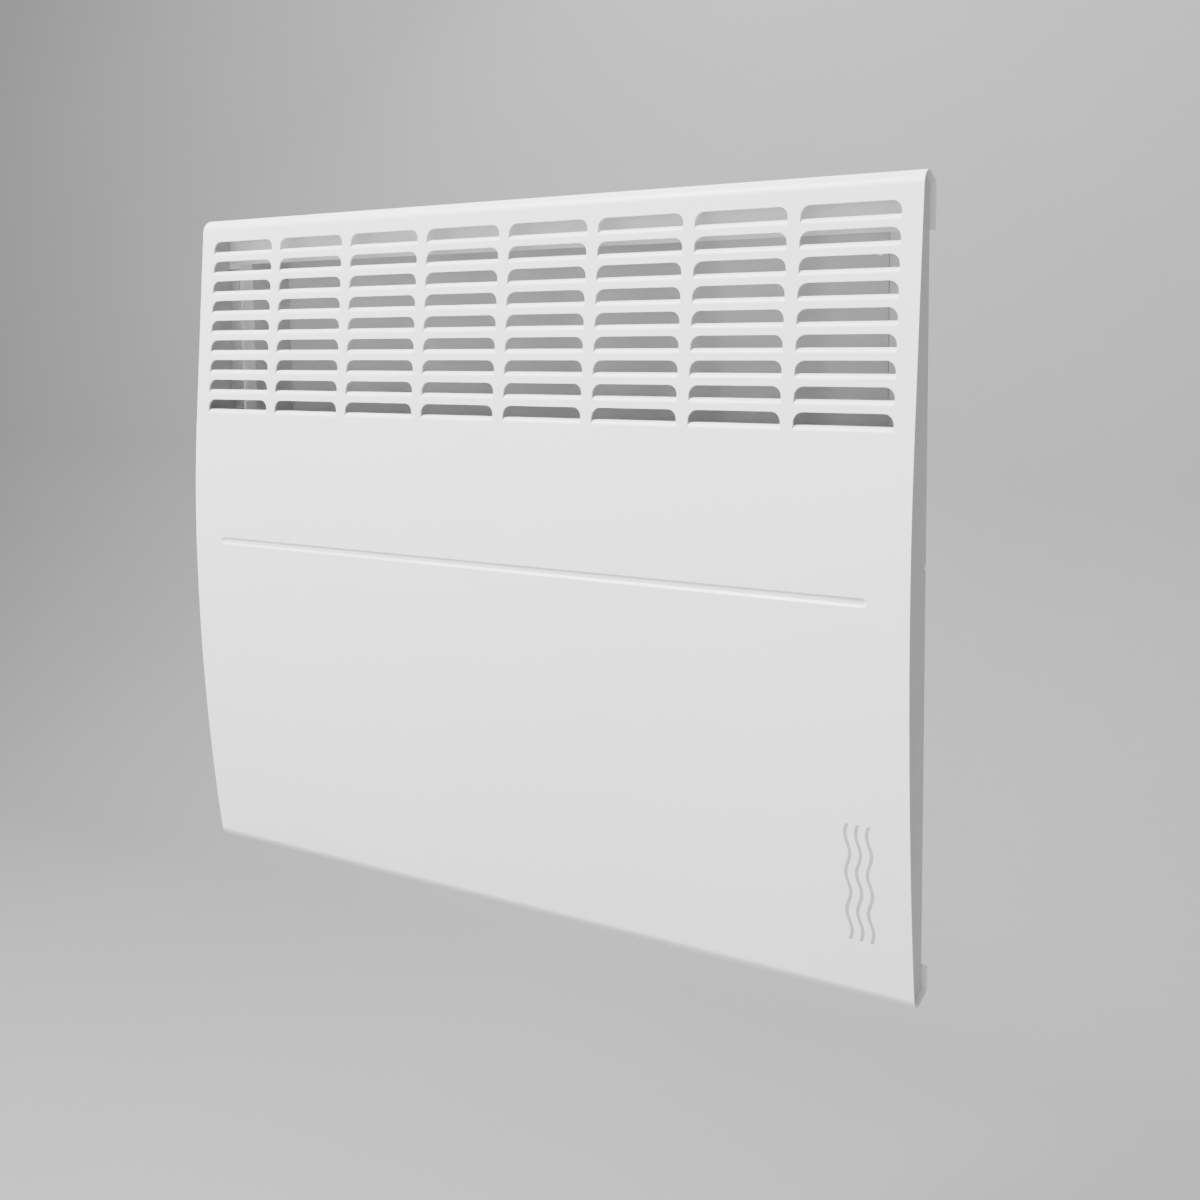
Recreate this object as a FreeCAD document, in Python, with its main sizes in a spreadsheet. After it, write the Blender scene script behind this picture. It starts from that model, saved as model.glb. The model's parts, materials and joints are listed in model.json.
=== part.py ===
import FreeCAD, Part
import Sketcher
import math
import os
import re

from FreeCAD import Placement, Rotation, Vector

# A wall-hung electric panel convector on its wall bracket, in millimetres.
# +Z is up, the front faces -Y, the wall is the plane Y = 0, and the origin is the centre of the
# four wall-fixing holes. Every size is a cell of the sheet "dims", and the objects are bound to it.
SIZES = {
    # front cover, one folded sheet: a flat louvred band on top of two long arcs
    # (its levels are those of the square corners; rounded, the cover is 454 high)
    "case_width": 528, "top_level": 230.4, "bottom_level": 229.8, "sheet_gauge": 1.2,
    "top_depth": 80, "cover_rear": 59.7,
    "band_tilt": 5.3, "band_length": 144.9, "upper_radius": 1081, "lower_radius": 1500,
    "top_slope": 24, "bottom_slope": 10,
    "top_corner": 9, "bottom_corner": 9, "rear_corner": 4,
    "window_top": 195.6, "window_bottom": 211,
    # louvres, each with a tongue bent inwards along its lower edge
    "slot_columns": 8, "slot_rows": 9, "slot_width": 56.8, "slot_height": 10.6,
    "slot_corner": 5.7, "slot_pitch": 64.1, "row_pitch": 14, "first_slot": 20,
    "tongue_angle": 86, "tongue_bend": 2.5, "tongue_reach": 5.5, "tongue_corner": 5.2,
    # pressed groove across the front
    "groove_length": 479, "groove_height": 5.4, "groove_depth": 1.1, "groove_draft": 55,
    "groove_centre": 1.3, "groove_level": -1.3, "bulge_depth": 98,
    # end cheeks
    "cheek_inset": 3, "cheek_gauge": 1.2, "cheek_gap": 0.1, "cheek_flange": 11, "flange_inset": 3,
    "notch_level": 13.3, "notch_size": 2.2,
    # rear housing: a tray with a rim that the cover is screwed to
    "tray_width": 480, "tray_height": 410, "tray_back": 22, "tray_gauge": 1.2,
    "rim_width": 500, "rim_top": 212, "rim_bottom": 217.5,
    "intake_left": 200, "intake_right": 150, "intake_front": 54, "intake_rear": 28,
    "intake_slots": 22, "guard_gauge": 1, "guard_end": 5, "guard_edge": 3,
    "guard_land": 4, "guard_margin": 2,
    "screw_radius": 1.6, "screw_head": 3.4, "screw_head_depth": 2, "screw_reach": 6,
    "cover_screw_top": 208.6, "cover_screw_bottom": 214.2,
    # wall bracket
    "rail_place": 115, "rail_width": 30, "rail_gauge": 2, "rail_top": 216, "rail_bottom": 205,
    "fixing_height": 200, "fixing_radius": 3, "cross_height": 30,
    "pivot_depth": 14, "pivot_level": -190, "pivot_radius": 3, "cradle_radius": 3.05,
    "hook_radius": 6.5, "hook_gauge": 3, "lug_gauge": 2, "lug_gap": 5.5, "lug_reach": 7,
    "lug_nose": 6, "pin_end": 1, "brace_depth": 6,
    "latch_depth": 9, "latch_level": 210.5, "latch_pin": 2, "latch_bore": 2.05,
    "latch_width": 9, "latch_eye": 4.5, "latch_tip": 38, "latch_gauge": 3,
    "latch_hook": 2.4, "latch_float": 0.8, "latch_tab": 9,
    "ear_gauge": 2, "ear_gap": 5.2, "ear_reach": 14, "ear_foot": 198,
    "lip_depth": 32, "lip_height": 3.4, "lip_width": 12,
    "buffer_radius": 8, "buffer_gap": 0.3, "buffer_top": 150, "buffer_low": 140,
    # finned element, its brackets and its shield
    "rod_radius": 4, "rod_left": 205, "rod_right": 122, "rod_depth": 56,
    "rod_upper": 112, "rod_lower": 140,
    "fin_count": 24, "fin_pitch": 12, "fin_first": 175, "fin_gauge": 0.8,
    "fin_front": 76, "fin_rear": 36, "fin_top": 97, "fin_bottom": 155,
    "hanger_gauge": 1.2, "hanger_left": 193, "hanger_right": 112, "hanger_top": 88,
    "hanger_bottom": 164, "hanger_foot": 12, "shield_front": 84, "shield_gauge": 0.8,
    "shield_top": 60, "shield_bottom": 180, "shield_fold": 10,
    "bush_radius": 7, "bush_length": 8, "bush_waist": 5.5,
    "tab_radius": 1.8, "tab_length": 12,
    "cutout_level": 50, "cutout_radius": 10, "cutout_depth": 9,
    "blade_reach": 7, "blade_root": 1, "blade_width": 6, "blade_gauge": 0.8, "blade_place": 4.2,
    # controls on top of the housing, at the right
    "box_left": 112, "box_right": 238.4, "box_front": 57, "box_bottom": 70, "box_wall": 2,
    "lid_screw_inset": 5, "lid_screw_drop": 18, "lid_screw_head": 2.6, "lid_screw_depth": 1.4,
    "knob_place": 205, "control_depth": 41, "knob_radius": 13, "knob_bottom": 207,
    "knob_height": 12.5, "knob_cap": 2.5, "knob_edge": 1.5, "knob_flutes": 18,
    "flute_radius": 1.4, "flute_offset": 0.7, "flute_start": 3,
    "spindle_radius": 3, "spindle_bore": 3.05,
    "spindle_bottom": 194, "spindle_gap": 0.5, "spindle_float": 0.3, "dial_radius": 16.5, "dial_gauge": 0.8,
    "regulator_width": 28, "regulator_depth": 26, "regulator_bottom": 172,
    "regulator_top": 201, "regulator_shift": 1,
    "switch_place": 156, "switch_length": 22, "switch_width": 14, "switch_bottom": 182,
    "bezel_rim": 1.6, "bezel_gauge": 1.4, "rocker_length": 17, "rocker_width": 9.6,
    "rocker_low": 199.5, "rocker_high": 208.5, "rocker_pin": 1.2, "rocker_bore": 1.25,
    "rocker_level": 203.4, "rocker_end_gap": 1.1, "rocker_side_gap": 0.3,
    "well_drop": 4, "axle_reach": 1.2, "axle_gap": 0.2, "dish_radius": 28, "dish_drop": 2,
    "pilot_place": 180, "pilot_radius": 3, "pilot_stem": 8, "pilot_rim": 1, "pilot_height": 2.2,
    "pilot_edge": 1.6,
    # wiring side, at the lower right
    "gland_place": 190, "gland_depth": 40, "gland_radius": 9, "gland_thread": 7,
    "gland_bore": 4, "gland_head": 10, "gland_inside": 8, "gland_nut": 3.5,
    "block_left": 172, "block_right": 214, "block_front": 46, "block_top": 158,
    "block_bottom": 178, "block_poles": 3, "well_radius": 3, "well_depth": 4,
    "clamp_radius": 2.7, "clamp_depth": 2, "clamp_sink": 2,
    "stud_place": 228, "stud_level": 150, "stud_radius": 2, "stud_length": 12, "nut_radius": 4,
    "nut_height": 3.2, "nut_level": 6,
    "probe_left": 166, "probe_length": 34, "probe_level": 196, "probe_radius": 3,
    "clip_width": 6, "clip_gauge": 1,
    # how far a cutting tool reaches past what it cuts
    "over": 1,
}

# an edge or face is taken as the one looked for within this distance
NEAR = 0.5

doc = FreeCAD.newDocument("panel_convector")
sheet = doc.addObject("Spreadsheet::Sheet", "dims")
for row, (alias, number) in enumerate(SIZES.items(), start=1):
    sheet.set(f"A{row}", alias)
    sheet.set(f"B{row}", str(number))
    sheet.setAlias(f"B{row}", alias)
doc.recompute()

parts = {}


def size(alias):
    """The number in the sheet's cell of that name."""
    return float(sheet.get(alias))


def bound(text):
    """An expression with each alias written as a cell of the sheet."""
    return re.sub(r"[a-z_]+", lambda word: f"dims.{word[0]}" if word[0] in SIZES else word[0], text)


def bind(thing, **expressions):
    """Binds properties; a double underscore in a name stands for the dot of a sub-property."""
    for name, text in expressions.items():
        thing.setExpression(name.replace("__", "."), bound(text))
    return thing


def place(thing, at):
    """Binds the three numbers of an object's position."""
    for axis, text in zip("xyz", at):
        thing.setExpression(f"Placement.Base.{axis}", bound(text))
    return thing


def box(name, low, extent):
    """A Part::Box with its lowest corner and its extents along X, Y and Z."""
    thing = doc.addObject("Part::Box", name)
    bind(thing, Length=extent[0], Width=extent[1], Height=extent[2])
    return place(thing, low)


TURNS = {"Z": Rotation(), "X": Rotation(Vector(0, 1, 0), 90), "Y": Rotation(Vector(1, 0, 0), -90)}


def rod(name, start, radius, length, along="Z"):
    """A Part::Cylinder from a point, running towards + along one axis."""
    thing = doc.addObject("Part::Cylinder", name)
    thing.Placement = Placement(Vector(), TURNS[along])
    bind(thing, Radius=radius, Height=length)
    return place(thing, start)


def cut(name, base, *tools):
    """The base less every tool."""
    thing = doc.addObject("Part::Cut", name)
    thing.Base = base
    thing.Tool = tools[0] if len(tools) == 1 else fuse(f"{name}_tools", *tools)
    return thing


def fuse(name, *pieces):
    """The pieces as one solid."""
    thing = doc.addObject("Part::MultiFuse", name)
    thing.Shapes = list(pieces)
    return thing


def group(name, *pieces):
    """The pieces side by side, each still a solid of its own."""
    thing = doc.addObject("Part::Compound", name)
    thing.Links = list(pieces)
    return thing


def keep(node, thing):
    """Makes an object a sub-part: its label names the node and its file."""
    thing.Label = node
    parts[node] = thing


# ---- sketches -----------------------------------------------------------------------------------


def origin_plane(body, role):
    return next(plane for plane in body.Origin.OriginFeatures if plane.Role == role)


def body_sketch(body, name, role, offset=Placement()):
    """A sketch on one of the body's own origin planes."""
    sketch = body.newObject("Sketcher::SketchObject", name)
    sketch.AttachmentSupport = (origin_plane(body, role), "")
    sketch.MapMode = "FlatFace"
    sketch.AttachmentOffset = offset
    return sketch


def rule(sketch, name, text, *constraint):
    """Adds a dimension to a sketch and binds it."""
    index = sketch.addConstraint(Sketcher.Constraint(*constraint))
    sketch.renameConstraint(index, name)
    sketch.setExpression(f".Constraints.{name}", bound(text))


def side_outline(sketch):
    """The cover's outer outline in the YZ plane, with square corners."""
    tilt = math.radians(size("band_tilt"))
    top = Vector(-size("top_depth"), size("top_level"), 0)
    knee = top - Vector(math.sin(tilt), math.cos(tilt), 0) * size("band_length")
    upper, lower = size("upper_radius"), size("lower_radius")
    upper_centre = knee + Vector(math.cos(tilt), -math.sin(tilt), 0) * upper
    crest = upper_centre - Vector(upper, 0, 0)
    lower_centre = crest + Vector(lower, 0, 0)
    fall = math.asin((crest.y + size("bottom_level")) / lower)
    foot = lower_centre - Vector(math.cos(fall), math.sin(fall), 0) * lower
    rear = -size("cover_rear")
    rear_foot = Vector(rear, foot.y + (rear - foot.x) * math.tan(math.radians(size("bottom_slope"))), 0)
    rear_top = Vector(rear, top.y - (rear - top.x) * math.tan(math.radians(size("top_slope"))), 0)
    normal = Vector(0, 0, 1)
    band = sketch.addGeometry(Part.LineSegment(top, knee))
    over = sketch.addGeometry(
        Part.ArcOfCircle(Part.Circle(upper_centre, normal, upper), math.pi - tilt, math.pi))
    under = sketch.addGeometry(
        Part.ArcOfCircle(Part.Circle(lower_centre, normal, lower), math.pi, math.pi + fall))
    low = sketch.addGeometry(Part.LineSegment(foot, rear_foot))
    back = sketch.addGeometry(Part.LineSegment(rear_foot, rear_top))
    high = sketch.addGeometry(Part.LineSegment(rear_top, top))
    for first, second in ((under, low), (low, back), (back, high), (high, band)):
        sketch.addConstraint(Sketcher.Constraint("Coincident", first, 2, second, 1))
    for first, second in ((band, over), (over, under)):
        sketch.addConstraint(Sketcher.Constraint("Tangent", first, 2, second, 1))
    sketch.addConstraint(Sketcher.Constraint("Horizontal", over, 3, over, 2))
    sketch.addConstraint(Sketcher.Constraint("Vertical", back))
    rule(sketch, "band", "band_length", "Distance", band, size("band_length"))
    rule(sketch, "upper", "upper_radius", "Radius", over, upper)
    rule(sketch, "lower", "lower_radius", "Radius", under, lower)
    rule(sketch, "depth", "top_depth", "DistanceX", band, 1, -1, 1, size("top_depth"))
    rule(sketch, "top", "top_level", "DistanceY", -1, 1, band, 1, top.y)
    rule(sketch, "bottom", "bottom_level", "DistanceY", under, 2, -1, 1, -foot.y)
    rule(sketch, "rear", "cover_rear", "DistanceX", back, 1, -1, 1, size("cover_rear"))


def arch_outline(sketch, width, height, corner, low):
    """A rectangle with its two upper corners rounded, centred on the sketch's vertical axis."""
    half, top, radius = width / 2, low + height, corner
    normal = Vector(0, 0, 1)
    side = low + height - radius
    base = sketch.addGeometry(Part.LineSegment(Vector(-half, low, 0), Vector(half, low, 0)))
    right = sketch.addGeometry(Part.LineSegment(Vector(half, low, 0), Vector(half, side, 0)))
    turn = sketch.addGeometry(
        Part.ArcOfCircle(Part.Circle(Vector(half - radius, side, 0), normal, radius), 0, math.pi / 2))
    crown = sketch.addGeometry(
        Part.LineSegment(Vector(half - radius, top, 0), Vector(radius - half, top, 0)))
    back = sketch.addGeometry(Part.ArcOfCircle(
        Part.Circle(Vector(radius - half, side, 0), normal, radius), math.pi / 2, math.pi))
    left = sketch.addGeometry(Part.LineSegment(Vector(-half, side, 0), Vector(-half, low, 0)))
    for first, second in ((base, right), (left, base)):
        sketch.addConstraint(Sketcher.Constraint("Coincident", first, 2, second, 1))
    for first, second in ((right, turn), (turn, crown), (crown, back), (back, left)):
        sketch.addConstraint(Sketcher.Constraint("Tangent", first, 2, second, 1))
    sketch.addConstraint(Sketcher.Constraint("Horizontal", crown))
    sketch.addConstraint(Sketcher.Constraint("Symmetric", base, 1, base, 2, -2))
    sketch.addConstraint(Sketcher.Constraint("Equal", turn, back))
    sketch.addConstraint(Sketcher.Constraint("Vertical", right))
    sketch.addConstraint(Sketcher.Constraint("Vertical", left))
    return base, turn, crown


def straight_slot(sketch, length, height, x, y):
    """An obround: two half circles joined by straight edges."""
    radius = height / 2
    reach = length / 2 - radius
    normal = Vector(0, 0, 1)
    sketch.addGeometry(Part.ArcOfCircle(
        Part.Circle(Vector(x + reach, y, 0), normal, radius), -math.pi / 2, math.pi / 2))
    sketch.addGeometry(Part.LineSegment(Vector(x + reach, y + radius, 0), Vector(x - reach, y + radius, 0)))
    sketch.addGeometry(Part.ArcOfCircle(
        Part.Circle(Vector(x - reach, y, 0), normal, radius), math.pi / 2, 3 * math.pi / 2))
    sketch.addGeometry(Part.LineSegment(Vector(x - reach, y - radius, 0), Vector(x + reach, y - radius, 0)))
    for first, second in ((0, 1), (1, 2), (2, 3), (3, 0)):
        sketch.addConstraint(Sketcher.Constraint("Tangent", first, 2, second, 1))


def pad(body, name, sketch, length, **options):
    thing = body.newObject("PartDesign::Pad", name)
    thing.Profile = sketch
    bind(thing, Length=length)
    for option, choice in options.items():
        setattr(thing, option, choice)
    return thing


def pocket(body, name, sketch, length, **options):
    """A pocket that must remove material."""
    doc.recompute()
    before = body.Shape.Volume
    thing = body.newObject("PartDesign::Pocket", name)
    thing.Profile = sketch
    bind(thing, Length=length)
    for option, choice in options.items():
        setattr(thing, option, choice)
    doc.recompute()
    if body.Shape.Volume >= before - 1:
        raise ValueError(f"{name} cuts nothing")
    return thing


# ---- the cover ----------------------------------------------------------------------------------


def long_edges(shape, corners):
    """The names of the edges along X that stand at the given (Y, Z) corners."""
    found = []
    for number, edge in enumerate(shape.Edges, start=1):
        middle = edge.CenterOfMass
        for y, z in corners:
            if abs(middle.x) < NEAR and math.hypot(middle.y - y, middle.z - z) < NEAR:
                found.append(f"Edge{number}")
    return found


def outline_corners():
    """The outline's four corners as (Y, Z): top front, top rear, bottom rear, bottom front."""
    tilt = math.radians(size("band_tilt"))
    high, low = size("top_level"), -size("bottom_level")
    top = -size("top_depth")
    crest_drop = size("band_length") * math.cos(tilt) + size("upper_radius") * math.sin(tilt)
    crest = top - size("band_length") * math.sin(tilt) - size("upper_radius") * (1 - math.cos(tilt))
    fall = math.asin((high - low - crest_drop) / size("lower_radius"))
    foot = crest + size("lower_radius") * (1 - math.cos(fall))
    rear = -size("cover_rear")
    rise = (rear - foot) * math.tan(math.radians(size("bottom_slope")))
    drop = (rear - top) * math.tan(math.radians(size("top_slope")))
    return (top, high), (rear, high - drop), (rear, low + rise), (foot, low)


def round_corners(body, last):
    """Rounds the four long corners of the padded outline."""
    radii = ("top_corner", "rear_corner", "rear_corner", "bottom_corner")
    for corner, radius in zip(outline_corners(), radii):
        fillet = body.newObject("PartDesign::Fillet", f"round_{radius}_{len(body.Group)}")
        fillet.Base = (last, long_edges(last.Shape, [corner]))
        bind(fillet, Radius=radius)
        doc.recompute()
        last = fillet
    return last


def hollow(body, last):
    """Leaves a sheet of the cover's gauge, open at both ends."""
    half = size("case_width") / 2
    ends = [f"Face{number}" for number, face in enumerate(last.Shape.Faces, start=1)
            if abs(abs(face.CenterOfMass.x) - half) < NEAR]
    skin = body.newObject("PartDesign::Thickness", "cover_skin")
    skin.Base = (last, ends)
    skin.Mode = 0
    skin.Join = 0
    skin.Reversed = True
    bind(skin, Value="sheet_gauge")
    doc.recompute()
    return skin


def band_frame():
    """The louvred band's own frame on the XZ plane: X across, Y up along the band, Z outwards."""
    return Placement(Vector(0, size("top_level"), size("top_depth")),
                     Rotation(Vector(1, 0, 0), -size("band_tilt")))


def first_column():
    return -size("slot_pitch") * (size("slot_columns") - 1) / 2


def louvres(body):
    """One slot with its tongue, repeated over the columns and rows."""
    low = -size("first_slot") - size("slot_height")
    corner = band_frame() * Placement(Vector(first_column(), 0, 0), Rotation())
    slot = body_sketch(body, "slot_outline", "XZ_Plane", corner)
    base, turn, crown = arch_outline(
        slot, size("slot_width"), size("slot_height"), size("slot_corner"), low)
    rule(slot, "width", "slot_width", "DistanceX", base, 1, base, 2, size("slot_width"))
    rule(slot, "corner", "slot_corner", "Radius", turn, size("slot_corner"))
    rule(slot, "height", "slot_height", "DistanceY", base, 1, crown, 1, size("slot_height"))
    rule(slot, "level", "first_slot + slot_height", "DistanceY", base, 1, -1, 1, -low)
    opening = pocket(body, "slot_cut", slot, "2 * sheet_gauge")

    gauge, bend = size("sheet_gauge"), size("tongue_bend")
    angle = math.radians(size("tongue_angle"))
    section = body_sketch(body, "bend_section", "YZ_Plane", Placement(
        Vector(-size("top_depth"), size("top_level"), first_column()),
        Rotation(Vector(0, 0, 1), -size("band_tilt"))))
    centre = Vector(gauge + bend, low, 0)
    normal = Vector(0, 0, 1)
    rays = [Vector(-math.cos(turned), math.sin(turned), 0) for turned in (0, angle)]
    section.addGeometry(Part.ArcOfCircle(
        Part.Circle(centre, normal, bend + gauge), math.pi - angle, math.pi))
    section.addGeometry(Part.LineSegment(centre + rays[0] * (bend + gauge), centre + rays[0] * bend))
    section.addGeometry(Part.ArcOfCircle(Part.Circle(centre, normal, bend), math.pi - angle, math.pi))
    section.addGeometry(Part.LineSegment(centre + rays[1] * bend, centre + rays[1] * (bend + gauge)))
    curl = pad(body, "tongue_bend", section, "slot_width", SideType="Symmetric")

    root = Placement(
        Vector(0, low + bend * math.sin(angle), -(gauge + bend) + bend * math.cos(angle)),
        Rotation(Vector(1, 0, 0), -size("tongue_angle")))
    flat = body_sketch(body, "tongue_outline", "XZ_Plane", corner * root)
    base, turn, crown = arch_outline(
        flat, size("slot_width"), size("tongue_reach"), size("tongue_corner"), 0)
    rule(flat, "width", "slot_width", "DistanceX", base, 1, base, 2, size("slot_width"))
    rule(flat, "corner", "tongue_corner", "Radius", turn, size("tongue_corner"))
    rule(flat, "reach", "tongue_reach", "DistanceY", base, 1, crown, 1, size("tongue_reach"))
    flat.addConstraint(Sketcher.Constraint("PointOnObject", base, 1, -1))
    tongue = pad(body, "tongue", flat, "sheet_gauge")
    doc.recompute()

    field = body.newObject("PartDesign::LinearPattern", "louvre_field")
    field.Originals = [opening, curl, tongue]
    field.Direction = (slot, ["H_Axis"])
    field.Direction2 = (slot, ["V_Axis"])
    field.Reversed2 = True
    bind(field, Length="slot_pitch * (slot_columns - 1)", Length2="row_pitch * (slot_rows - 1)",
         Occurrences="slot_columns", Occurrences2="slot_rows")
    body.Tip = field
    doc.recompute()


def groove(body):
    """A groove pressed inwards across the front: a ridge behind, then the sloping recess in front."""
    gauge = size("sheet_gauge")
    spread = 2 * gauge * math.tan(math.radians(size("groove_draft")))
    floor = size("bulge_depth") - size("groove_depth")
    ridge = body_sketch(body, "ridge_outline", "XZ_Plane",
                        Placement(Vector(0, 0, floor - gauge), Rotation()))
    straight_slot(ridge, size("groove_length") + 2 * gauge, size("groove_height") + 2 * gauge,
                  size("groove_centre"), size("groove_level"))
    pad(body, "ridge", ridge, "sheet_gauge")
    recess = body_sketch(body, "groove_outline", "XZ_Plane",
                         Placement(Vector(0, 0, size("bulge_depth") + gauge), Rotation()))
    straight_slot(recess, size("groove_length") + spread, size("groove_height") + spread,
                  size("groove_centre"), size("groove_level"))
    sunk = pocket(body, "groove_cut", recess, "groove_depth + sheet_gauge")
    bind(sunk, TaperAngle="-groove_draft")


def front_cover():
    body = doc.addObject("PartDesign::Body", "cover_body")
    outline = body_sketch(body, "cover_outline", "YZ_Plane")
    side_outline(outline)
    block = pad(body, "cover_block", outline, "case_width", SideType="Symmetric")
    doc.recompute()
    hollow(body, round_corners(body, block))
    window = body_sketch(body, "rear_window", "XZ_Plane")
    low, high, half = -size("window_bottom"), size("window_top"), size("case_width") / 2 + size("over")
    ring = [Vector(-half, low, 0), Vector(half, low, 0), Vector(half, high, 0), Vector(-half, high, 0)]
    for start, end in zip(ring, ring[1:] + ring[:1]):
        window.addGeometry(Part.LineSegment(start, end))
    pocket(body, "rear_opening", window, "cover_rear + 2 * sheet_gauge", Reversed=True)
    louvres(body)
    groove(body)
    keep("front_cover", body)


def end_cheek(node, inner, flange_low):
    """A plate inside the cover's end, with a flange folded along its rear edge."""
    outline = doc.addObject("Sketcher::SketchObject", f"{node}_outline")
    outline.Placement = Placement(Vector(), Rotation(Vector(1, 1, 1), 120))
    side_outline(outline)
    inset = doc.addObject("Part::Offset2D", f"{node}_inset")
    inset.Source = outline
    inset.Mode = "Pipe"
    inset.Join = "Intersection"
    bind(inset, Value="-(sheet_gauge + cheek_gap)")
    plate = doc.addObject("Part::Extrusion", f"{node}_plate")
    plate.Base = inset
    plate.DirMode = "Custom"
    plate.Dir = Vector(1, 0, 0)
    plate.Solid = True
    bind(plate, LengthFwd="cheek_gauge")
    place(plate, (inner, "0", "0"))
    doc.recompute()
    trim = size("sheet_gauge") + size("cheek_gap")
    rounded = doc.addObject("Part::Fillet", f"{node}_rounded")
    rounded.Base = plate
    radii = [size(name) - trim for name in ("top_corner", "rear_corner", "rear_corner", "bottom_corner")]
    rounded.Edges = [(number, radius, radius) for number, radius in corner_edges(plate.Shape, radii)]
    flange = box(f"{node}_flange", (flange_low, "-cover_rear - sheet_gauge - cheek_gap - cheek_gauge",
                                    "-window_bottom + flange_inset"),
                 ("cheek_flange", "cheek_gauge", "window_top + window_bottom - 2 * flange_inset"))
    notch = box(f"{node}_notch", (f"{inner} - over", "-cover_rear - notch_size - sheet_gauge",
                                  "notch_level - notch_size / 2"),
                ("cheek_gauge + 2 * over", "notch_size + 2 * over", "notch_size"))
    keep(node, cut(f"{node}_cut", fuse(f"{node}_folded", rounded, flange), notch))


def corner_edges(shape, radii):
    """Pairs each of the plate's four short edges, from the top front to the bottom front, with a radius."""
    corners = outline_corners()
    pairs = []
    for number, edge in enumerate(shape.Edges, start=1):
        start, end = edge.Vertexes[0].Point, edge.Vertexes[-1].Point
        if abs(start.x - end.x) < NEAR:
            continue
        reach = [math.hypot(start.y - y, start.z - z) for y, z in corners]
        nearest = reach.index(min(reach))
        if reach[nearest] < 2 * size("sheet_gauge") + NEAR:
            pairs.append((number, radii[nearest]))
    return pairs


# ---- the rear housing ---------------------------------------------------------------------------


def rear_housing():
    """A tray open to the front, with the holes for the controls in its roof."""
    outer = box("tray_outer", ("-tray_width / 2", "-cover_rear", "-tray_height / 2"),
                ("tray_width", "cover_rear - tray_back", "tray_height"))
    inner = box("tray_inner", ("-tray_width / 2 + tray_gauge", "-cover_rear - over",
                               "-tray_height / 2 - over"),
                ("tray_width - 2 * tray_gauge", "cover_rear - tray_back - tray_gauge + over",
                 "tray_height - tray_gauge + over"))
    top = "tray_height / 2 - tray_gauge - over"
    spindle = rod("tray_spindle_hole", ("knob_place", "-control_depth", top),
                  "spindle_radius + spindle_gap", "tray_gauge + 2 * over")
    switch = box("tray_switch_hole", ("switch_place - switch_length / 2",
                                      "-control_depth - switch_width / 2", top),
                 ("switch_length", "switch_width", "tray_gauge + 2 * over"))
    pilot = rod("tray_pilot_hole", ("pilot_place", "-control_depth", top),
                "pilot_radius", "tray_gauge + 2 * over")
    keep("rear_housing", cut("tray_shell", outer, inner, spindle, switch, pilot))


def housing_floor():
    """The tray's floor, welded in, with the air intake and the hole for the cable gland."""
    low = "-tray_height / 2"
    plate = box("floor_plate", ("-tray_width / 2 + tray_gauge", "-cover_rear", low),
                ("tray_width - 2 * tray_gauge", "cover_rear - tray_back - tray_gauge", "tray_gauge"))
    intake = box("tray_intake", ("-intake_left", "-intake_front", f"{low} - over"),
                 ("intake_left + intake_right", "intake_front - intake_rear", "tray_gauge + 2 * over"))
    entry = rod("tray_cable_hole", ("gland_place", "-gland_depth", f"{low} - over"),
                "gland_thread", "tray_gauge + 2 * over")
    keep("housing_floor", cut("floor", plate, intake, entry))


def housing_rim():
    """Four strips welded round the tray's mouth, for the cover's screws."""
    side = "(rim_width - tray_width) / 2"
    strips = [
        box("rim_left", ("-rim_width / 2", "-cover_rear", "-rim_bottom"),
            (side, "tray_gauge", "rim_top + rim_bottom")),
        box("rim_right", ("tray_width / 2", "-cover_rear", "-rim_bottom"),
            (side, "tray_gauge", "rim_top + rim_bottom")),
        box("rim_high", ("-tray_width / 2", "-cover_rear", "tray_height / 2"),
            ("tray_width", "tray_gauge", "rim_top - tray_height / 2")),
        box("rim_low", ("-tray_width / 2", "-cover_rear", "-rim_bottom"),
            ("tray_width", "tray_gauge", "rim_bottom - tray_height / 2")),
    ]
    keep("housing_rim", group("rim", *strips))


def latch_lips():
    """The two upstands on the tray's roof that the latches hold."""
    lips = [box(f"lip_{side}", (f"{sign}rail_place - lip_width / 2", "-lip_depth - tray_gauge",
                                "tray_height / 2"),
                ("lip_width", "tray_gauge", "lip_height"))
            for side, sign in (("left", "-"), ("right", ""))]
    keep("latch_lips", group("lip_pair", *lips))


def hinge_lugs():
    """A pair of lugs on each side of both hooks, pierced by the pivot pins."""
    lugs = []
    for side, sign in (("left", "-"), ("right", "")):
        for edge, shift in (("outer", "lug_gap"), ("inner", "-lug_gap - lug_gauge")):
            start = f"{sign}rail_place + ({shift})"
            plate = box(f"lug_{side}_{edge}", (start, "-tray_back", "pivot_level - lug_reach"),
                        ("lug_gauge", "tray_back - pivot_depth + lug_nose", "2 * lug_reach"))
            eye = rod(f"lug_eye_{side}_{edge}", (f"{start} - over", "-pivot_depth", "pivot_level"),
                      "pivot_radius", "lug_gauge + 2 * over", "X")
            lugs.append(cut(f"lug_pierced_{side}_{edge}", plate, eye))
    keep("hinge_lugs", group("lug_set", *lugs))


def pivot_pins():
    """One pin through each pair of hinge lugs."""
    pins = [rod(f"pivot_{side}", (f"{sign}rail_place - lug_gap - lug_gauge - pin_end", "-pivot_depth",
                                  "pivot_level"),
                "pivot_radius", "2 * (lug_gap + lug_gauge + pin_end)", "X")
            for side, sign in (("left", "-"), ("right", ""))]
    keep("pivot_pins", group("pivot_pair", *pins))


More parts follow.
